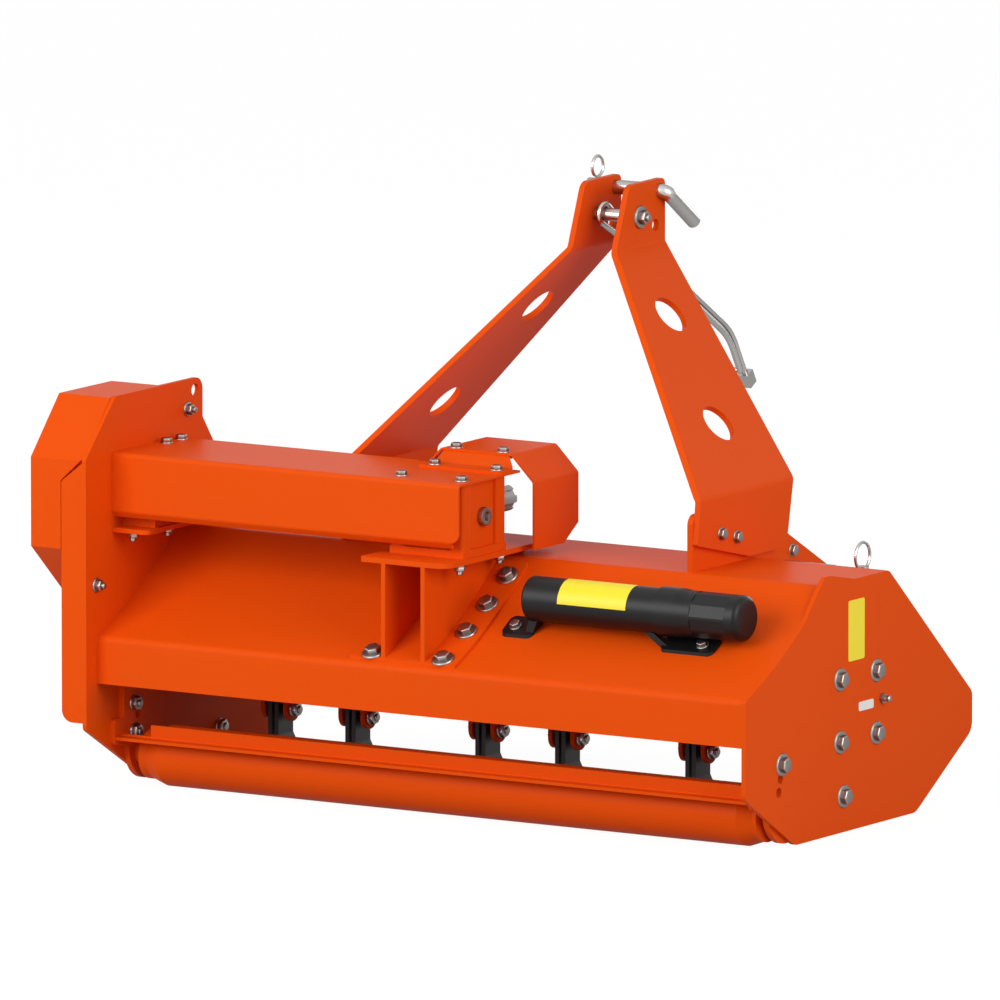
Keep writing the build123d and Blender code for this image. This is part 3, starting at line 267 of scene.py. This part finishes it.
def zinc_plated_steel(name, face_on, painted_slant_shade, roughness):
    """Zinc plating on turned and forged steel: silver seen face on, with painted shade that darkens the base
    colour at a slant.
    """
    material, shader = new_material(name, {
        "Base Color": linear(face_on), "Metallic": 1.0, "Roughness": roughness,
    })
    tree = material.node_tree
    # painted shade: the base colour is mixed towards the dark colour where the surface is seen at a slant
    slant = add_node(tree, "ShaderNodeLayerWeight", {"Blend": 0.5})
    shade = add_node(
        tree, "ShaderNodeMixRGB", {"Color1": linear(face_on), "Color2": linear(painted_slant_shade)},
        [("Fac", slant, "Facing")],
    )
    tree.links.new(shade.outputs[0], shader.inputs["Base Color"])
    add_grain(material, shader, size_mm=1.2, strength=0.08, height_mm=0.1)
    return material


def bright_turned_steel():
    """Turned steel under oil, as on the splined stub: a darker, duller silver than the zinc."""
    material, shader = new_material("bright_turned_steel", {
        "Base Color": linear("#A9A9A6"), "Metallic": 1.0, "Roughness": 0.36,
    })
    add_grain(material, shader, size_mm=0.8, strength=0.06, height_mm=0.1)
    return material


def black_polypropylene():
    """Blow-moulded black polypropylene: nearly black with a broad dull shine."""
    material, shader = new_material("black_polypropylene", {
        "Base Color": linear("#121213"), "Roughness": 0.4, "IOR": 1.49, "Specular IOR Level": 0.32,
    })
    add_grain(material, shader, size_mm=1.5, strength=0.08, height_mm=0.1)
    return material


def black_blade_lacquer():
    """Dipped black lacquer on forged blades: dark grey with a dull shine."""
    material, shader = new_material("black_blade_lacquer", {
        "Base Color": linear("#2B2C2E"), "Roughness": 0.5, "IOR": 1.5,
    })
    add_grain(material, shader, size_mm=2.0, strength=0.12, height_mm=0.2)
    return material


def grey_cast_iron():
    """Sand-cast iron in grey primer: dull, with a coarse skin."""
    material, shader = new_material("grey_cast_iron", {
        "Base Color": linear("#6B6C6D"), "Roughness": 0.62, "IOR": 1.5,
    })
    add_grain(material, shader, size_mm=2.5, strength=0.25, height_mm=0.4)
    return material


def label_vinyl(name, colour):
    """Vinyl film: flat colour with a smooth low gloss."""
    return new_material(name, {"Base Color": linear(colour), "Roughness": 0.4, "IOR": 1.46})[0]


PAINT = orange_powder_coat()
# zinc finishes: face-on silver, then the dark colour that is painted in as shade at a slant
ZINC = zinc_plated_steel("zinc_plated_steel", "#E8E6E2", "#3C3937", 0.24)
BOLT_ZINC = zinc_plated_steel("dull_zinc_bolts", "#C0BBB6", "#3A3735", 0.36)
BRIGHT = bright_turned_steel()
BLACK = black_polypropylene()
BLADE = black_blade_lacquer()
CAST = grey_cast_iron()
YELLOW = label_vinyl("yellow_label_vinyl", "#FFE92E")
WHITE = label_vinyl("white_label_vinyl", "#F4F2EE")

FINISH_OF_SLOT = {
    "orange_paint": PAINT,
    "zinc": ZINC,
    "black_plastic": BLACK,
    "grey_cast": CAST,
    "dark_steel": BLADE,
}
FINISH_OF_NODE = {"pto_stub": BRIGHT, "rotor_bearing_right": CAST, "rotor_bearing_left": CAST}


def set_finish(piece, finish):
    """Give a piece one finish in place of what it has."""
    piece.data.materials.clear()
    piece.data.materials.append(finish)


def finish_cad_nodes():
    """Give every CAD node the finish of its record slot, or its own where it has one."""
    for part in frame["record"]["subparts"]:
        finish = FINISH_OF_NODE.get(part["node"], FINISH_OF_SLOT[part["material_slot"]])
        set_finish(frame["nodes"][part["node"]], finish)


def deselect():
    """Clear the selection before a new piece is made."""
    bpy.ops.object.select_all(action="DESELECT")


def dress(piece, name, finish, body):
    """Name a finished piece, give it its finish and let it ride on a body."""
    piece.name = name
    piece.data.name = name
    set_finish(piece, finish)
    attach(piece, body)


def facing(place, out, spin):
    """Matrix that stands a piece modelled on +Z at a place, facing out, turned about its axis in degrees."""
    turn = Vector(PLUS_Z).rotation_difference(Vector(out).normalized()).to_matrix().to_4x4()
    return Matrix.Translation(place) @ turn @ Matrix.Rotation(math.radians(spin), 4, "Z")


def place_bolt(model, name, matrix, body):
    """Copy of a bolt, nut or fitting with its own mesh, its place in the mesh."""
    piece = model.copy()
    piece.data = model.data.copy()
    bpy.context.scene.collection.objects.link(piece)
    piece.data.transform(matrix)
    dress(piece, name, BOLT_ZINC, body)


def select_by(piece, test):
    """Select the faces whose middle and normal pass a test, in edit mode."""
    bpy.ops.object.mode_set(mode="OBJECT")
    for face in piece.data.polygons:
        face.select = test(face.center, face.normal)
    for item in list(piece.data.edges) + list(piece.data.vertices):
        item.select = False
    for face in piece.data.polygons:
        if face.select:
            for index in face.vertices:
                piece.data.vertices[index].select = True
    bpy.ops.object.mode_set(mode="EDIT")


def select_top(piece, height):
    """Select the faces that look up and lie above a height."""
    select_by(piece, lambda middle, normal: normal.z > FACING_UP and middle.z > height)


def raise_faces(rise, size):
    """Pull the selected faces out along +Z by millimetres, and change their width."""
    bpy.ops.mesh.extrude_region_move(TRANSFORM_OT_translate={"value": (0, 0, rise * MM)})
    bpy.ops.transform.resize(value=(size, size, 1.0))


def start_model():
    """Fix the place of the mesh just added, and open it for editing by faces with nothing selected."""
    piece = bpy.context.active_object
    bpy.ops.object.transform_apply(location=True, rotation=True, scale=True)
    bpy.ops.object.mode_set(mode="EDIT")
    bpy.ops.mesh.select_mode(type="FACE")
    bpy.ops.mesh.select_all(action="DESELECT")
    return piece


def add_cylinder(vertices, radius, low, height):
    """Upright cylinder or prism in millimetres, from a low end on the axis."""
    bpy.ops.mesh.primitive_cylinder_add(
        vertices=vertices, radius=radius * MM, depth=height * MM, location=(0, 0, (low + height / 2) * MM)
    )


def round_edges(piece, width):
    """Close a model with small rounded edges and smooth shading."""
    bpy.ops.object.mode_set(mode="OBJECT")
    bevel = piece.modifiers.new("edges", "BEVEL")
    bevel.width = width * MM
    bevel.segments = 2
    bevel.limit_method = "ANGLE"
    bpy.ops.object.modifier_apply(modifier=bevel.name)
    bpy.ops.object.shade_smooth_by_angle(angle=math.radians(35))


def hex_model(flats, height, washer_r, washer_t, stud_r=0.0, stud_l=0.0):
    """Hexagon head or nut with a chamfered crown on a washer, with a bolt end if it is a nut, on +Z."""
    deselect()
    bpy.ops.mesh.primitive_cone_add(
        vertices=32, radius1=washer_r * MM, radius2=washer_r * WASHER_TAPER * MM, depth=washer_t * MM,
        location=(0, 0, washer_t / 2 * MM),
    )
    head = start_model()
    body = height * (1 - CROWN)
    add_cylinder(6, flats / math.sqrt(3), washer_t, body)
    select_top(head, (washer_t + body * FACING_UP) * MM)
    raise_faces(height * CROWN, CROWN_TAPER)
    if stud_l:
        top = washer_t + height
        body = stud_l * (1 - STUD_END)
        bpy.ops.mesh.select_all(action="DESELECT")
        add_cylinder(20, stud_r, top, body)
        select_top(head, (top + body * FACING_UP) * MM)
        raise_faces(stud_l * STUD_END, STUD_TAPER)
    round_edges(head, 0.4)
    return head


def socket_plug_model(radius, height, socket):
    """Round screw plug with a socket sunk into it, on +Z."""
    deselect()
    add_cylinder(36, radius, 0.0, height)
    plug = start_model()
    select_top(plug, 0.0)
    bpy.ops.mesh.inset(thickness=radius * PLUG_RIM * MM)
    bpy.ops.mesh.inset(thickness=(radius * (1 - PLUG_RIM) - socket) * MM)
    bpy.ops.mesh.extrude_region_move(TRANSFORM_OT_translate={"value": (0, 0, -height * SOCKET_DEPTH * MM)})
    round_edges(plug, 0.6)
    return plug


def nipple_model():
    """Grease nipple: hexagon foot, waist and ball tip, on +Z."""
    deselect()
    add_cylinder(6, NIPPLE_FOOT_R, 0.0, NIPPLE_FOOT_H)
    nipple = start_model()
    add_cylinder(16, NIPPLE_NECK_R, NIPPLE_FOOT_H, NIPPLE_NECK_H)
    select_top(nipple, (NIPPLE_FOOT_H + NIPPLE_NECK_H / 2) * MM)
    for rise, size in NIPPLE_STEPS:
        raise_faces(rise, size)
    bpy.ops.object.mode_set(mode="OBJECT")
    bpy.ops.object.shade_smooth_by_angle(angle=math.radians(40))
    return nipple


def mast_bolts():
    """Rows of the mast's bolts on both sides, in columns as the bolts on flat faces."""
    rows = []
    for side, word in ((1, "right"), (-1, "left")):
        for name, model, face, y, z, spin in MAST_BOLTS:
            rows.append((f"{name}_{word}", model, (HITCH_X + side * face, y, z), (side, 0, 0), spin))
    return rows


def slope_bolts():
    """Rows of the bolts on the hood's hollow slope: name, model, place in the frame, way out, turn."""
    rows = []
    for shift, side in STAND_SIDES:
        for number, (x, y) in enumerate(STAND_BOLTS):
            place, out = on_slope(shift + side * x, y, BASE_T)
            rows.append(("stand_bolt", "big_bolt", place, out, STAND_BOLT_TURN * number))
    for x, y in TAB_BOLTS:
        place, out = on_slope(x, y, TAB_T)
        rows.append(("tab_bolt", "small_bolt", place, out, TAB_BOLT_TURN))
    return rows


def flail_bolts(models):
    """Bolt head and nut of each flail, riding on the rotor."""
    rotor_z = (ROTOR_LOW.z + ROTOR_HIGH.z) / 2 / MM
    for word, shares, z in (
        ("low", FLAIL_SHARES, rotor_z - LUG_R),
        ("high", HIGH_FLAIL_SHARES, rotor_z + LUG_R),
    ):
        for number, share in enumerate(shares):
            x = share * ROTOR_HALF
            stand = facing(at(x + LUG_FACE, 0.0, z), PLUS_X, FLAIL_BOLT_TURN)
            place_bolt(models["middle_nut"], f"flail_nut_{word}_{number}", stand, "rotor_body")
            stand = facing(at(x - LUG_FACE, 0.0, z), MINUS_X, FLAIL_BOLT_TURN)
            place_bolt(models["small_bolt"], f"flail_head_{word}_{number}", stand, "rotor_body")


def make_bolts():
    """All bolts, nuts and small fittings of the frame and of the rotor's flails."""
    models = {
        "big_bolt": hex_model(flats=18.0, height=7.0, washer_r=15.5, washer_t=2.0),
        "small_bolt": hex_model(flats=13.0, height=5.2, washer_r=8.8, washer_t=1.4),
        "middle_nut": hex_model(flats=17.0, height=7.0, washer_r=10.5, washer_t=2.0, stud_r=5.0, stud_l=3.0),
        "small_nut": hex_model(flats=13.0, height=6.5, washer_r=10.0, washer_t=2.0, stud_r=4.0, stud_l=5.0),
        "washer_nut": hex_model(flats=17.0, height=8.0, washer_r=15.5, washer_t=3.0, stud_r=5.0, stud_l=4.0),
        "plug": socket_plug_model(radius=12.0, height=8.0, socket=5.5),
        "nipple": nipple_model(),
    }
    rows = []
    for name, model, place, out, spin in list(FLAT_BOLTS) + mast_bolts() + list(FITTINGS):
        rows.append((name, model, at(*place), out, spin))
    for number, (name, model, place, out, spin) in enumerate(rows + slope_bolts()):
        place_bolt(models[model], f"{name}_{number}", facing(place, out, spin), "frame")
    flail_bolts(models)
    for model in models.values():
        bpy.data.objects.remove(model)


def plate_label(name, finish, corners):
    """Blank film with rounded corners on the right plate's outer face."""
    low, high = (at(RIGHT_FACE + FILM_T / 2, y, z) for y, z in corners)
    deselect()
    bpy.ops.mesh.primitive_cube_add(size=1.0, location=(low + high) / 2)
    piece = bpy.context.active_object
    piece.scale = Vector((FILM_T * MM, high.y - low.y, high.z - low.z))
    bpy.ops.object.transform_apply(location=True, rotation=True, scale=True)
    bpy.ops.object.mode_set(mode="EDIT")
    bpy.ops.mesh.select_mode(type="EDGE")
    bpy.ops.mesh.select_all(action="DESELECT")
    bpy.ops.object.mode_set(mode="OBJECT")
    for edge in piece.data.edges:
        a, b = (piece.data.vertices[i].co for i in edge.vertices)
        edge.select = abs(a.x - b.x) > FILM_T * MM / 2
    bpy.ops.object.mode_set(mode="EDIT")
    bpy.ops.mesh.bevel(offset=FILM_CORNER * MM, segments=4, affect="EDGES")
    bpy.ops.object.mode_set(mode="OBJECT")
    dress(piece, name, finish, "frame")


def tube_label():
    """Blank film wrapped over the upper rear of the document tube."""
    deselect()
    bpy.ops.mesh.primitive_cylinder_add(
        vertices=180, radius=(TUBE_R + TUBE_FILM_LIFT) * MM, depth=(LABEL_X[1] - LABEL_X[0]) * MM,
        end_fill_type="NOTHING", rotation=(0, math.pi / 2, 0),
    )
    piece = start_model()

    def outside(middle, normal):
        turn = math.degrees(math.atan2(middle.z, middle.y)) % 360
        return not LABEL_TURN[0] < turn < LABEL_TURN[1]

    select_by(piece, outside)
    bpy.ops.mesh.delete(type="FACE")
    bpy.ops.mesh.select_all(action="SELECT")
    bpy.ops.mesh.solidify(thickness=-TUBE_FILM_T * MM)
    bpy.ops.mesh.normals_make_consistent(inside=False)
    bpy.ops.object.mode_set(mode="OBJECT")
    piece.data.transform(Matrix.Translation(at(sum(LABEL_X) / 2, TUBE_Y, TUBE_Z)))
    bpy.ops.object.shade_smooth_by_angle(angle=math.radians(30))
    dress(piece, "tube_label_yellow", YELLOW, "frame")


def make_labels():
    """Blank films: yellow and white on the right plate, yellow round the document tube."""
    plate_label("plate_label_yellow", YELLOW, YELLOW_LABEL)
    plate_label("plate_label_white", WHITE, WHITE_LABEL)
    tube_label()


def white_rays(tree, gloss):
    """Share of the white that a ray sees: all from the camera and through glass, part of it in gloss."""
    path = add_node(tree, "ShaderNodeLightPath", {})
    shiny = add_node(
        tree, "ShaderNodeMath", {"operation": "MULTIPLY", 1: gloss},
        [(0, path, "Is Glossy Ray")],
    )
    clear = add_node(
        tree, "ShaderNodeMath", {"operation": "MAXIMUM"},
        [(0, path, "Is Camera Ray"), (1, path, "Is Transmission Ray")],
    )
    return add_node(tree, "ShaderNodeMath", {"operation": "MAXIMUM"}, [(0, clear, 0), (1, shiny, 0)])


def make_floor():
    """Floor that is white to the camera and a dull grey in the light it gives back."""
    deselect()
    bpy.ops.mesh.primitive_plane_add(size=FLOOR_SIZE, location=(0, 0, FLOOR_Z))
    floor = bpy.context.active_object
    floor.name = "floor"
    material, shader = new_material("pale_floor", {"Base Color": linear("#FFFFFF"), "Roughness": 0.9})
    tree = material.node_tree
    glow = add_node(tree, "ShaderNodeEmission", {"Color": PURE_WHITE, "Strength": FLOOR_GLOW})
    seen = add_node(tree, "ShaderNodeMixShader", {"Fac": FLOOR_GLOW_SHARE}, [(1, shader, 0), (2, glow, 0)])
    dull = add_node(tree, "ShaderNodeBsdfDiffuse", {"Color": linear("#B4B4B4")})
    share = white_rays(tree, FLOOR_IN_GLOSS)
    mix = add_node(tree, "ShaderNodeMixShader", {}, [(0, share, 0), (1, dull, 0), (2, seen, 0)])
    tree.links.new(mix.outputs[0], tree.nodes["Material Output"].inputs["Surface"])
    floor.data.materials.append(material)


def make_surround():
    """World that is white to the camera and dimmer as a light."""
    world = bpy.data.worlds.new("soft_studio")
    bpy.context.scene.world = world
    world.use_nodes = True
    tree = world.node_tree
    room = tree.nodes["Background"]
    room.inputs["Color"].default_value = PURE_WHITE
    room.inputs["Strength"].default_value = ROOM_LIGHT
    white = add_node(tree, "ShaderNodeBackground", {"Color": PURE_WHITE, "Strength": 1.0})
    share = white_rays(tree, ROOM_IN_GLOSS)
    mix = add_node(tree, "ShaderNodeMixShader", {}, [(0, share, 0), (1, room, 0), (2, white, 0)])
    tree.links.new(mix.outputs[0], tree.nodes["World Output"].inputs["Surface"])


def make_lamps():
    """Soft square lamps that look at the machine."""
    for name, place, size, power in LAMPS:
        data = bpy.data.lights.new(name, "AREA")
        data.energy = power
        data.size = size
        lamp = bpy.data.objects.new(name, data)
        bpy.context.scene.collection.objects.link(lamp)
        lamp.location = place
        lamp.rotation_euler = (Vector(LAMP_AIM) - Vector(place)).to_track_quat("-Z", "Y").to_euler()


def make_camera():
    """Camera of the photograph, with plain colour handling."""
    data = bpy.data.cameras.new("photo_camera")
    data.lens = CAMERA_LENS
    data.sensor_width = CAMERA_SENSOR
    data.clip_end = CAMERA_REACH
    camera = bpy.data.objects.new("photo_camera", data)
    bpy.context.scene.collection.objects.link(camera)
    camera.location = at(*CAMERA_AT)
    camera.rotation_euler = (math.radians(CAMERA_TILT), 0.0, math.radians(CAMERA_TURN))
    bpy.context.scene.camera = camera
    bpy.context.scene.view_settings.view_transform = "Standard"


finish_cad_nodes()
make_bolts()
make_labels()
make_floor()
make_surround()
make_lamps()
make_camera()
